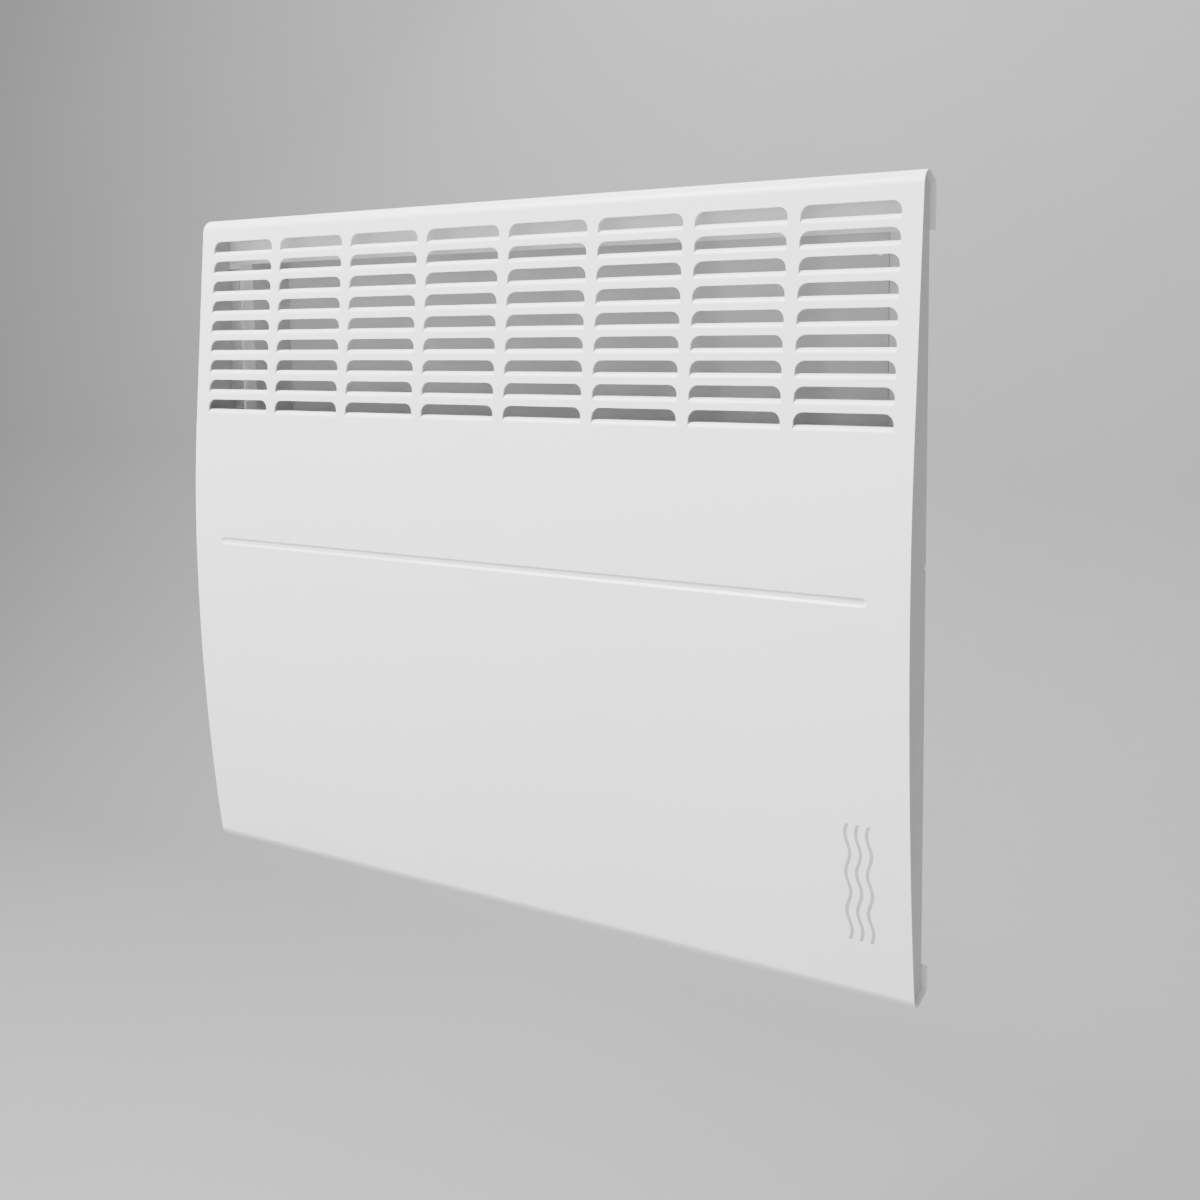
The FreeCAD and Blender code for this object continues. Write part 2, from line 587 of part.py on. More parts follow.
def intake_guard():
    """A slotted plate under the tray's air intake."""
    low = "-tray_height / 2 - guard_gauge"
    plate = box("guard_plate", ("-intake_left - guard_end", "-intake_front - guard_edge", low),
                ("intake_left + intake_right + 2 * guard_end",
                 "intake_front - intake_rear + 2 * guard_edge", "guard_gauge"))
    count = int(size("intake_slots"))
    pitch = f"(intake_left + intake_right) / {count}"
    slots = [box(f"guard_slot_{index}", (f"-intake_left + {pitch} * {index} + guard_land",
                                         "-intake_front + guard_margin", f"{low} - over"),
                 (f"{pitch} - 2 * guard_land", "intake_front - intake_rear - 2 * guard_margin",
                  "guard_gauge + 2 * over"))
             for index in range(count)]
    keep("intake_guard", cut("guard", plate, *slots))


def screw(name, x, z):
    """A pan-head screw driven from behind, through the tray's rim into the cover."""
    head = rod(f"{name}_head", (x, "-cover_rear + tray_gauge", z), "screw_head",
               "screw_head_depth", "Y")
    shank = rod(f"{name}_shank", (x, "-cover_rear + tray_gauge - screw_reach", z), "screw_radius",
                "screw_reach", "Y")
    return fuse(name, head, shank)


COVER_SCREW_PLACES = (-226, -75, 75, 226)


def cover_screws():
    screws = []
    for x in COVER_SCREW_PLACES:
        screws.append(screw(f"screw_top_{len(screws)}", str(x), "cover_screw_top"))
        screws.append(screw(f"screw_low_{len(screws)}", str(x), "-cover_screw_bottom"))
    keep("cover_screws", group("cover_screw_set", *screws))


def wall_buffers():
    """Rubber buffers on the tray's back, facing the bracket's rails."""
    buffers = []
    for side, sign in (("left", "-"), ("right", "")):
        for level, height in (("top", "buffer_top"), ("low", "-buffer_low")):
            buffers.append(rod(f"buffer_{side}_{level}", (f"{sign}rail_place", "-tray_back", height),
                               "buffer_radius", "tray_back - rail_gauge - buffer_gap", "Y"))
    keep("wall_buffers", group("buffer_set", *buffers))


# ---- the wall bracket and its latches -----------------------------------------------------------


def rail(side, sign):
    """One upright of the bracket, with its hinge hook and its latch ears."""
    centre = f"{sign}rail_place"
    strip = box(f"rail_{side}", (f"{centre} - rail_width / 2", "-rail_gauge", "-rail_bottom"),
                ("rail_width", "rail_gauge", "rail_top + rail_bottom"))
    arm = box(f"arm_{side}", (f"{centre} - hook_gauge / 2", "-pivot_depth", "pivot_level - hook_radius"),
              ("hook_gauge", "pivot_depth - rail_gauge / 2", "hook_radius"))
    nose = rod(f"nose_{side}", (f"{centre} - hook_gauge / 2", "-pivot_depth", "pivot_level"),
               "hook_radius", "hook_gauge", "X")
    seat = rod(f"seat_{side}", (f"{centre} - hook_gauge", "-pivot_depth", "pivot_level"),
               "cradle_radius", "2 * hook_gauge", "X")
    mouth = box(f"mouth_{side}", (f"{centre} - hook_gauge", "-pivot_depth - cradle_radius",
                                  "pivot_level"),
                ("2 * hook_gauge", "2 * cradle_radius", "hook_radius + over"))
    hook = cut(f"hook_{side}", fuse(f"hook_stock_{side}", arm, nose), seat, mouth)
    ears = []
    for edge, shift in (("outer", "ear_gap"), ("inner", "-ear_gap - ear_gauge")):
        ears.append(box(f"ear_{side}_{edge}", (f"{centre} + ({shift})", "-ear_reach", "ear_foot"),
                        ("ear_gauge", "ear_reach - rail_gauge / 2", "rail_top - ear_foot")))
    upright = fuse(f"upright_{side}", strip, hook, *ears)
    holes = [rod(f"fixing_{side}_{name}", (centre, "-rail_gauge - over", height), "fixing_radius",
                 "rail_gauge + 2 * over", "Y")
             for name, height in (("top", "fixing_height / 2"), ("low", "-fixing_height / 2"))]
    pin = rod(f"ear_hole_{side}", (f"{centre} - rail_width / 2", "-latch_depth", "latch_level"),
              "latch_pin", "rail_width", "X")
    return cut(f"rail_whole_{side}", upright, pin, *holes)


def wall_bracket():
    cross = box("cross_bar", ("-rail_place", "-rail_gauge", "-cross_height / 2"),
                ("2 * rail_place", "rail_gauge", "cross_height"))
    brace = box("cross_rib", ("-rail_place", "-brace_depth", "-cross_height / 2"),
                ("2 * rail_place", "brace_depth", "rail_gauge"))
    keep("wall_bracket", fuse("bracket", rail("left", "-"), rail("right", ""), cross, brace))


def latch(side, sign):
    """A hooked catch that swings on its pin and holds the tray's lip."""
    centre = f"{sign}rail_place"
    low = f"{centre} - latch_width / 2"
    eye = rod(f"eye_{side}", (low, "-latch_depth", "latch_level"), "latch_eye", "latch_width", "X")
    arm = box(f"latch_arm_{side}", (low, "-latch_tip", "latch_level - latch_gauge / 2"),
              ("latch_width", "latch_tip - latch_depth", "latch_gauge"))
    tip = box(f"latch_hook_{side}", (low, "-latch_tip", "tray_height / 2 + latch_float"),
              ("latch_width", "latch_hook", "latch_level - tray_height / 2"))
    tab = box(f"latch_tab_{side}", (low, "-latch_tip", "latch_level"),
              ("latch_width", "latch_hook", "latch_tab"))
    bore = rod(f"latch_bore_{side}", (f"{low} - over", "-latch_depth", "latch_level"), "latch_bore",
               "latch_width + 2 * over", "X")
    keep(f"latch_{side}", cut(f"catch_{side}", fuse(f"catch_stock_{side}", eye, arm, tip, tab), bore))


def latch_pins():
    pins = [rod(f"latch_pin_{side}", (f"{sign}rail_place - ear_gap - ear_gauge", "-latch_depth",
                                      "latch_level"),
                "latch_pin", "2 * (ear_gap + ear_gauge)", "X")
            for side, sign in (("left", "-"), ("right", ""))]
    keep("latch_pins", group("latch_pin_pair", *pins))


# ---- the element --------------------------------------------------------------------------------

ROD_LEVELS = {"upper": "-rod_upper", "lower": "-rod_lower"}


def element_rods():
    rods = [rod(f"rod_{name}", ("-rod_left", "-rod_depth", level), "rod_radius",
                "rod_left + rod_right", "X") for name, level in ROD_LEVELS.items()]
    keep("element_rods", group("rod_pair", *rods))


def element_fins():
    """Thin plates on both rods, each pierced by them."""
    fins = []
    for index in range(int(size("fin_count"))):
        start = f"-fin_first + fin_pitch * {index}"
        plate = box(f"fin_{index}", (start, "-fin_front", "-fin_bottom"),
                    ("fin_gauge", "fin_front - fin_rear", "fin_bottom - fin_top"))
        holes = [rod(f"fin_hole_{name}_{index}", (f"{start} - over", "-rod_depth", level),
                     "rod_radius", "fin_gauge + 2 * over", "X") for name, level in ROD_LEVELS.items()]
        fins.append(cut(f"fin_pierced_{index}", plate, *holes))
    keep("element_fins", group("fin_stack", *fins))


HANGERS = {"left": "-hanger_left", "right": "hanger_right"}


def hanger(side, start):
    """A plate from the tray's back to the shield, pierced for the element's bushes."""
    plate = box(f"hanger_{side}", (start, "-shield_front + shield_gauge", "-hanger_bottom"),
                ("hanger_gauge", "shield_front - shield_gauge - tray_back - tray_gauge",
                 "hanger_bottom - hanger_top"))
    foot = box(f"hanger_foot_{side}", (start, "-tray_back - tray_gauge - hanger_gauge",
                                       "-hanger_bottom"),
               ("hanger_foot", "hanger_gauge", "hanger_bottom - hanger_top"))
    holes = [rod(f"hanger_hole_{side}_{name}", (f"{start} - over", "-rod_depth", level), "bush_waist",
                 "hanger_gauge + 2 * over", "X") for name, level in ROD_LEVELS.items()]
    stock = fuse(f"hanger_stock_{side}", plate, foot)
    keep(f"element_hanger_{side}", cut(f"hanger_whole_{side}", stock, *holes))


def element_bushes():
    """Ceramic bushes, waisted where the hangers grip them."""
    bushes = []
    for side, start in HANGERS.items():
        for name, level in ROD_LEVELS.items():
            middle = f"{start} + hanger_gauge / 2"
            barrel = rod(f"bush_{side}_{name}", (f"{middle} - bush_length / 2", "-rod_depth", level),
                         "bush_radius", "bush_length", "X")
            ring = rod(f"bush_waist_{side}_{name}", (start, "-rod_depth", level), "bush_radius + over",
                       "hanger_gauge", "X")
            neck = rod(f"bush_neck_{side}_{name}", (f"{start} - over", "-rod_depth", level),
                       "bush_waist", "hanger_gauge + 2 * over", "X")
            bore = rod(f"bush_bore_{side}_{name}", (f"{middle} - bush_length", "-rod_depth", level),
                       "rod_radius", "2 * bush_length", "X")
            waist = cut(f"bush_groove_{side}_{name}", ring, neck)
            bushes.append(cut(f"bush_whole_{side}_{name}", barrel, waist, bore))
    keep("element_bushes", group("bush_set", *bushes))


def element_terminals():
    tabs = []
    for name, level in ROD_LEVELS.items():
        tabs.append(rod(f"tab_left_{name}", ("-rod_left - tab_length", "-rod_depth", level), "tab_radius",
                        "tab_length", "X"))
        tabs.append(rod(f"tab_right_{name}", ("rod_right", "-rod_depth", level), "tab_radius",
                        "tab_length", "X"))
    keep("element_terminals", group("tab_set", *tabs))


def heat_shield():
    """A plate between the element and the front, turned back along its top."""
    plate = box("shield_plate", ("-hanger_left", "-shield_front", "-shield_bottom"),
                ("hanger_left + hanger_right + hanger_gauge", "shield_gauge",
                 "shield_top + shield_bottom"))
    turn = box("shield_turn", ("-hanger_left", "-shield_front", "shield_top - shield_gauge"),
               ("hanger_left + hanger_right + hanger_gauge", "shield_fold", "shield_gauge"))
    keep("heat_shield", fuse("shield", plate, turn))


def thermal_cutout():
    """A disc thermostat with two blade terminals, on the tray's back above the element."""
    seat = "-tray_back - tray_gauge"
    disc = rod("cutout_disc", ("0", f"{seat} - cutout_depth", "-cutout_level"), "cutout_radius",
               "cutout_depth", "Y")
    blades = [box(f"cutout_blade_{name}", (x, f"{seat} - cutout_depth - blade_reach",
                                           "-cutout_level - blade_width / 2"),
                  ("blade_gauge", "blade_reach + blade_root", "blade_width"))
              for name, x in (("left", "-blade_place - blade_gauge"), ("right", "blade_place"))]
    keep("thermal_cutout", fuse("cutout", disc, *blades))


# ---- controls -----------------------------------------------------------------------------------


def control_box():
    """A moulded box behind the cover's right end, closed by a lid at its front."""
    roof = "tray_height / 2 - tray_gauge"
    outer = box("box_outer", ("box_left", "-box_front", "box_bottom"),
                ("box_right - box_left", "box_front - tray_back - tray_gauge", f"{roof} - box_bottom"))
    inner = box("box_inner", ("box_left + box_wall", "-box_front - over", "box_bottom + box_wall"),
                ("box_right - box_left - 2 * box_wall",
                 "box_front + over - tray_back - tray_gauge - box_wall",
                 f"{roof} - box_bottom - 2 * box_wall"))
    floor = f"{roof} - box_wall - over"
    spindle = rod("box_spindle_hole", ("knob_place", "-control_depth", floor), "spindle_radius + spindle_gap",
                  "box_wall + 2 * over")
    switch = box("box_switch_hole", ("switch_place - switch_length / 2",
                                     "-control_depth - switch_width / 2", floor),
                 ("switch_length", "switch_width", "box_wall + 2 * over"))
    pilot = rod("box_pilot_hole", ("pilot_place", "-control_depth", floor), "pilot_radius",
                "box_wall + 2 * over")
    keep("control_box", cut("box_whole", outer, inner, spindle, switch, pilot))
    lid = box("box_lid", ("box_left", "-box_front - box_wall", "box_bottom"),
              ("box_right - box_left", "box_wall", f"{roof} - box_bottom"))
    keep("control_box_lid", lid)
    screws = []
    for name, x in (("left", "box_left + lid_screw_inset"), ("right", "box_right - lid_screw_inset")):
        for level, z in (("low", "box_bottom + lid_screw_inset"), ("top", f"{roof} - lid_screw_drop")):
            seat = (x, "-box_front - box_wall - lid_screw_depth", z)
            screws.append(rod(f"lid_screw_{name}_{level}", seat, "lid_screw_head", "lid_screw_depth", "Y"))
    keep("lid_screws", group("lid_screw_set", *screws))


def round_top(name, turned, radius):
    """The turned part with its uppermost edge rounded."""
    rounded = doc.addObject("Part::Fillet", name)
    rounded.Base = turned
    doc.recompute()
    edges = turned.Shape.Edges
    crown = max(range(len(edges)), key=lambda number: edges[number].CenterOfMass.z)
    rounded.Edges = [(crown + 1, size(radius), size(radius))]
    return rounded


def regulator():
    """The thermostat, its spindle, the knob and the dial plate under it."""
    block = box("regulator_block", ("knob_place - regulator_width / 2",
                                    "-control_depth - regulator_depth / 2 + regulator_shift",
                                    "regulator_bottom"),
                ("regulator_width", "regulator_depth", "regulator_top - regulator_bottom"))
    bore = rod("regulator_bore", ("knob_place", "-control_depth", "spindle_bottom"), "spindle_bore",
               "regulator_top - spindle_bottom + over")
    keep("thermostat_body", cut("regulator_whole", block, bore))
    top = "knob_bottom + knob_height - knob_cap"
    foot = ("knob_place", "-control_depth", "spindle_bottom + spindle_float")
    keep("thermostat_spindle", rod("spindle", foot, "spindle_radius",
                                   f"{top} - spindle_bottom - spindle_float"))
    skirt = rod("knob_skirt", ("knob_place", "-control_depth", "knob_bottom"), "knob_radius", "knob_height")
    rounded = round_top("knob_rounded", skirt, "knob_edge")
    count = int(size("knob_flutes"))
    flutes = []
    for index in range(count):
        angle = 360 / count * index
        centre = (f"knob_place + (knob_radius + flute_offset) * cos({angle})",
                  f"-control_depth + (knob_radius + flute_offset) * sin({angle})",
                  "knob_bottom + flute_start")
        flutes.append(rod(f"flute_{index}", centre, "flute_radius", "knob_height"))
    hole = rod("knob_hole", ("knob_place", "-control_depth", "knob_bottom - over"), "spindle_radius",
               f"{top} - knob_bottom + over")
    keep("thermostat_knob", cut("knob", rounded, hole, *flutes))
    disc = rod("dial_disc", ("knob_place", "-control_depth", "tray_height / 2"), "dial_radius", "dial_gauge")
    eye = rod("dial_eye", ("knob_place", "-control_depth", "tray_height / 2 - over"),
              "spindle_radius + spindle_gap", "dial_gauge + 2 * over")
    keep("dial_plate", cut("dial", disc, eye))


def mode_switch():
    """A three-position rocker switch: a flanged body and a rocker on a cross pin."""
    half_long, half_wide = "switch_length / 2", "switch_width / 2"
    body = box("switch_stock", (f"switch_place - {half_long}", f"-control_depth - {half_wide}",
                                "switch_bottom"),
               ("switch_length", "switch_width", "tray_height / 2 - switch_bottom"))
    bezel = box("switch_bezel", (f"switch_place - {half_long} - bezel_rim",
                                 f"-control_depth - {half_wide} - bezel_rim", "tray_height / 2"),
                ("switch_length + 2 * bezel_rim", "switch_width + 2 * bezel_rim", "bezel_gauge"))
    well = box("switch_well", ("switch_place - rocker_length / 2 - rocker_end_gap",
                               "-control_depth - rocker_width / 2 - rocker_side_gap",
                               "rocker_low - well_drop"),
               ("rocker_length + 2 * rocker_end_gap", "rocker_width + 2 * rocker_side_gap",
                "tray_height / 2 + bezel_gauge + over - rocker_low + well_drop"))
    reach = "(rocker_width / 2 + axle_reach)"
    hole = rod("switch_pin_hole", ("switch_place", f"-control_depth - {reach} - axle_gap",
                                   "rocker_level"),
               "rocker_bore", f"2 * {reach} + 2 * axle_gap", "Y")
    keep("switch_body", cut("switch_whole", fuse("switch_flanged", body, bezel), well, hole))
    block = box("rocker_block", ("switch_place - rocker_length / 2", "-control_depth - rocker_width / 2",
                                 "rocker_low"),
                ("rocker_length", "rocker_width", "rocker_high - rocker_low"))
    dish = rod("rocker_dish", ("switch_place", "-control_depth - rocker_width",
                               "rocker_high + dish_radius - dish_drop"),
               "dish_radius", "2 * rocker_width", "Y")
    pin = rod("rocker_axle", ("switch_place", f"-control_depth - {reach}", "rocker_level"), "rocker_pin",
              f"2 * {reach}", "Y")
    keep("switch_rocker", fuse("rocker", cut("rocker_dished", block, dish), pin))
    stem = rod("pilot_stem", ("pilot_place", "-control_depth", "tray_height / 2 - pilot_stem"),
               "pilot_radius", "pilot_stem")
    cap = rod("pilot_cap", ("pilot_place", "-control_depth", "tray_height / 2"),
              "pilot_radius + pilot_rim", "pilot_height")
    dome = round_top("pilot_dome", cap, "pilot_edge")
    keep("pilot_lens", fuse("pilot", stem, dome))


# ---- the supply side ----------------------------------------------------------------------------


def cable_gland():
    """A gland in the tray's floor with a straight bore for the mains cable."""
    floor = "-tray_height / 2"
    head = rod("gland_head", ("gland_place", "-gland_depth", f"{floor} - gland_head"), "gland_radius",
               "gland_head")
    neck = rod("gland_neck", ("gland_place", "-gland_depth", floor), "gland_thread",
               "tray_gauge + gland_inside")
    nut = rod("gland_nut", ("gland_place", "-gland_depth", f"{floor} + tray_gauge"), "gland_radius",
              "gland_nut")
    bore = rod("gland_bore_tool", ("gland_place", "-gland_depth", f"{floor} - gland_head - over"),
               "gland_bore", "gland_head + tray_gauge + gland_inside + 2 * over")
    keep("cable_gland", cut("gland", fuse("gland_stock", head, neck, nut), bore))


def terminal_block():
    """A moulded block with a clamp screw over each pole."""
    seat = "-tray_back - tray_gauge"
    block = box("block_stock", ("block_left", "-block_front", "-block_bottom"),
                ("block_right - block_left", f"block_front + ({seat})", "block_bottom - block_top"))
    count = int(size("block_poles"))
    wells, screws = [], []
    for index in range(count):
        x = f"block_left + (block_right - block_left) / {count} * ({index} + 0.5)"
        z = "-(block_top + block_bottom) / 2"
        wells.append(rod(f"block_well_{index}", (x, "-block_front - over", z), "well_radius",
                         "well_depth + over", "Y"))
        screws.append(rod(f"block_screw_{index}", (x, "-block_front + clamp_sink", z), "clamp_radius",
                          "clamp_depth", "Y"))
    keep("terminal_block", cut("block", block, *wells))
    keep("terminal_screws", group("block_screw_set", *screws))


def earth_stud():
    """A stud with its nut on the tray's back."""
    seat = "-tray_back - tray_gauge"
    stem = rod("stud_stem", ("stud_place", f"{seat} - stud_length", "-stud_level"), "stud_radius",
               "stud_length", "Y")
    nut = doc.addObject("Part::Prism", "stud_nut")
    nut.Polygon = 6
    nut.Placement = Placement(Vector(), TURNS["Y"])
    bind(nut, Circumradius="nut_radius", Height="nut_height")
    place(nut, ("stud_place", f"{seat} - nut_level", "-stud_level"))
    keep("earth_stud", fuse("stud", stem, nut))


def room_sensor():
    """The thermostat's probe in the incoming air, held by a clip."""
    probe = rod("probe", ("-probe_left - probe_length", "-control_depth", "-probe_level"), "probe_radius",
                "probe_length", "X")
    keep("room_sensor", probe)
    low = "-probe_left - (probe_length + clip_width) / 2"
    ring = rod("clip_ring", (low, "-control_depth", "-probe_level"), "probe_radius + clip_gauge",
               "clip_width", "X")
    arm = box("clip_arm", (low, "-control_depth", "-probe_level - clip_gauge / 2"),
              ("clip_width", "control_depth - tray_back - tray_gauge", "clip_gauge"))
    hole = rod("clip_hole", (f"{low} - over", "-control_depth", "-probe_level"), "probe_radius",
               "clip_width + 2 * over", "X")
    keep("sensor_clip", cut("clip", fuse("clip_stock", ring, arm), hole))


def check(node, thing):
    """Stops the build if a sub-part's object or shape is bad."""
    shape = thing.Shape
    if shape.isNull() or not shape.isValid() or not shape.Solids:
        raise ValueError(f"{node} has no valid solid")


def build():
    front_cover()
    end_cheek("left_end_cheek", "-case_width / 2 + cheek_inset", "-case_width / 2 + cheek_inset")
    end_cheek("right_end_cheek", "case_width / 2 - cheek_inset - cheek_gauge",
              "case_width / 2 - cheek_inset - cheek_flange")
    rear_housing()
    housing_floor()
    housing_rim()
    latch_lips()
    hinge_lugs()
    pivot_pins()
    intake_guard()
    cover_screws()
    wall_buffers()
    wall_bracket()
    latch("left", "-")
    latch("right", "")
    latch_pins()
    element_rods()
    element_fins()
    for side, start in HANGERS.items():
        hanger(side, start)
    element_bushes()
    element_terminals()
    heat_shield()
    thermal_cutout()
    control_box()
    regulator()
    mode_switch()
    cable_gland()
    terminal_block()
    earth_stud()
    room_sensor()
    doc.recompute()
    faults = [thing.Label for thing in doc.Objects if {"Invalid", "Error"} & set(thing.State)]
    if faults:
        raise ValueError(f"objects failed to compute: {faults}")
    os.makedirs("parts", exist_ok=True)
    for node, thing in parts.items():
        check(node, thing)
        thing.Shape.exportStep(f"parts/{node}.step")


build()
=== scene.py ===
import json
import math

import bmesh
import bpy
from mathutils import Matrix, Vector


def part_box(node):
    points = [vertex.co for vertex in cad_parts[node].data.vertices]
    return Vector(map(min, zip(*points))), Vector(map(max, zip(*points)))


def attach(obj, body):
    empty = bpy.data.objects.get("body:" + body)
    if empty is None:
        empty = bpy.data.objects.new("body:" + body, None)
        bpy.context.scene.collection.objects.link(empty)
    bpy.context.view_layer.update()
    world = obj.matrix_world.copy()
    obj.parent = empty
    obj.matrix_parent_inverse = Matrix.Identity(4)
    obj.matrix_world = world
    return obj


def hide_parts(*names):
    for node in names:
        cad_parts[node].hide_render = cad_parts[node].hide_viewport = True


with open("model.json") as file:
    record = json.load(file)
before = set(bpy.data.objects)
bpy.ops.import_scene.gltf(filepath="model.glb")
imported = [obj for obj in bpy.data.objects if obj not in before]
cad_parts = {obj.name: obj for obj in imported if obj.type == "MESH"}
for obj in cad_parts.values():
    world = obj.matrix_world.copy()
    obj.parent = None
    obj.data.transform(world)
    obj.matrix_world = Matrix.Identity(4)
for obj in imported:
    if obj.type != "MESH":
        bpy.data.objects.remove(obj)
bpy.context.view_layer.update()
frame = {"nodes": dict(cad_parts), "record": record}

MM = 0.001


# ---- materials ----------------------------------------------------------------------------------


class Finish:
    """A node material: one principled shader fed by textures in object space."""

    def __init__(self, name, **sockets):
        self.material = bpy.data.materials.new(name)
        self.material.use_nodes = True
        self.tree = self.material.node_tree
        self.shader = self.tree.nodes["Principled BSDF"]
        self.position = self.node("ShaderNodeTexCoord").outputs["Object"]
        for socket, number in sockets.items():
            self.shader.inputs[socket.replace("_", " ")].default_value = number

    def node(self, kind, **settings):
        made = self.tree.nodes.new(kind)
        for setting, choice in settings.items():
            setattr(made, setting, choice)
        return made

    def link(self, source, target):
        self.tree.links.new(source, target)

    def stretched(self, scale):
        """Object space, scaled per axis."""
        mapping = self.node("ShaderNodeMapping")
        mapping.inputs["Scale"].default_value = scale
        self.link(self.position, mapping.inputs["Vector"])
        return mapping.outputs["Vector"]

    def noise(self, scale, detail=3.0, space=None, rough=0.5):
        made = self.node("ShaderNodeTexNoise")
        made.inputs["Scale"].default_value = scale
        made.inputs["Detail"].default_value = detail
        made.inputs["Roughness"].default_value = rough
        self.link(space or self.position, made.inputs["Vector"])
        return made.outputs["Fac"]

    def cells(self, scale, space=None, output="Color"):
        made = self.node("ShaderNodeTexVoronoi")
        made.inputs["Scale"].default_value = scale
        self.link(space or self.position, made.inputs["Vector"])
        return made.outputs[output]

    def ramp(self, source, stops):
        """A colour ramp over (place, colour) stops."""
        made = self.node("ShaderNodeValToRGB")
        elements = made.color_ramp.elements
        while len(elements) < len(stops):
            elements.new(0.5)
        for element, (place, colour) in zip(elements, stops):
            element.position = place
            element.color = (*colour, 1.0)
        self.link(source, made.inputs["Fac"])
        return made.outputs["Color"]

    def span(self, source, low, high, start=0.0, end=1.0):
        """Maps a factor from start..end onto low..high."""
        made = self.node("ShaderNodeMapRange")
        made.inputs["From Min"].default_value = start
        made.inputs["From Max"].default_value = end
        made.inputs["To Min"].default_value = low
        made.inputs["To Max"].default_value = high
        self.link(source, made.inputs["Value"])
        return made.outputs["Result"]

    def colour(self, source):
        self.link(source, self.shader.inputs["Base Color"])

    def tinted(self, source, base, spread, start=0.35, end=0.65):
        """The base colour, lighter and darker by a small share with a factor."""
        dark = tuple(channel * (1 - spread) for channel in base)
        light = tuple(min(1.0, channel * (1 + spread)) for channel in base)
        self.colour(self.ramp(source, [(start, dark), (end, light)]))

    def roughness(self, source, low, high, start=0.3, end=0.7):
        self.link(self.span(source, low, high, start, end), self.shader.inputs["Roughness"])

    def bump(self, *layers):
        """Relief from (height, depth in metres) layers, one on the other."""
        last = None
        for height, depth in layers:
            made = self.node("ShaderNodeBump")
            made.inputs["Strength"].default_value = 1.0
            made.inputs["Distance"].default_value = depth
            self.link(height, made.inputs["Height"])
            if last is not None:
                self.link(last, made.inputs["Normal"])
            last = made.outputs["Normal"]
        self.link(last, self.shader.inputs["Normal"])


def powder_coat(name, base, gloss=0.38):
    """Baked powder: a fine orange peel over a sheet that is not quite flat."""
    made = Finish(name, Coat_Weight=0.12, Coat_Roughness=0.3, IOR=1.48)
    peel = made.noise(850, 2.0)
    broad = made.noise(7, 3.0)
    made.tinted(broad, base, 0.012)
    made.roughness(made.noise(60, 4.0), gloss, gloss + 0.1)
    made.bump((broad, 0.00012), (peel, 0.000012))
    return made.material


def zinc(name):
    """Hot-dip zinc with its crystals, dulled by a grain."""
    made = Finish(name, Metallic=0.9)
    flakes = made.cells(170)
    grey = made.node("ShaderNodeRGBToBW")
    made.link(flakes, grey.inputs["Color"])
    made.colour(made.ramp(grey.outputs["Val"], [(0.15, (0.52, 0.54, 0.56)), (0.85, (0.64, 0.66, 0.68))]))
    made.roughness(grey.outputs["Val"], 0.34, 0.56, 0.2, 0.8)
    made.bump((made.noise(400, 4.0), 0.00001), (grey.outputs["Val"], 0.00001))
    return made.material


def drawn_metal(name, base, rough, scale=(6, 500, 500)):
    """Drawn or rolled metal with its lines along X."""
    made = Finish(name, Metallic=1.0)
    lines = made.noise(1.0, 4.0, made.stretched(scale))
    made.tinted(lines, base, 0.08)
    made.roughness(lines, rough, rough + 0.16)
    made.bump((lines, 0.000015))
    return made.material


def tempered_steel(name):
    """The element's sheath, straw to blue where it runs hottest."""
    made = Finish(name, Metallic=1.0)
    patches = made.noise(26, 4.0)
    made.colour(made.ramp(patches, [
        (0.25, (0.16, 0.15, 0.19)), (0.45, (0.28, 0.22, 0.19)), (0.62, (0.40, 0.33, 0.24)),
        (0.80, (0.36, 0.36, 0.36))]))
    made.roughness(patches, 0.38, 0.6)
    made.bump((made.noise(700, 3.0), 0.00001))
    return made.material


def moulded(name, base, rough, grain=0.00002, scale=1400):
    """Injection-moulded plastic with a spark-eroded grain."""
    made = Finish(name, IOR=1.5)
    spark = made.cells(scale, output="Distance")
    made.tinted(made.noise(30, 3.0), base, 0.03)
    made.roughness(made.noise(220, 3.0), rough, rough + 0.12)
    made.bump((spark, grain))
    return made.material


def steatite(name):
    """Glazed ceramic with a few iron specks."""
    made = Finish(name, Coat_Weight=0.4, Coat_Roughness=0.12)
    specks = made.noise(900, 1.0)
    made.colour(made.ramp(specks, [(0.24, (0.35, 0.27, 0.2)), (0.31, (0.85, 0.82, 0.74))]))
    made.roughness(made.noise(90, 3.0), 0.25, 0.42)
    made.bump((made.noise(160, 3.0), 0.00004))
    return made.material


def amber(name):
    """The pilot lens, moulded in clear amber with fine facets inside."""
    made = Finish(name, Transmission_Weight=0.6, IOR=1.49, Alpha=1.0)
    facets = made.cells(900, output="Distance")
    made.colour(made.ramp(facets, [(0.1, (0.95, 0.38, 0.05)), (0.7, (0.75, 0.2, 0.02))]))
    made.roughness(facets, 0.08, 0.2)
    made.bump((facets, 0.00006))
    return made.material


def printed(name, base):
    """Pad-printed ink, a little uneven at its surface."""
    made = Finish(name)
    made.tinted(made.noise(900, 2.0), base, 0.04)
    made.roughness(made.noise(300, 2.0), 0.42, 0.55)
    made.bump((made.noise(1500, 2.0), 0.000006))
    return made.material


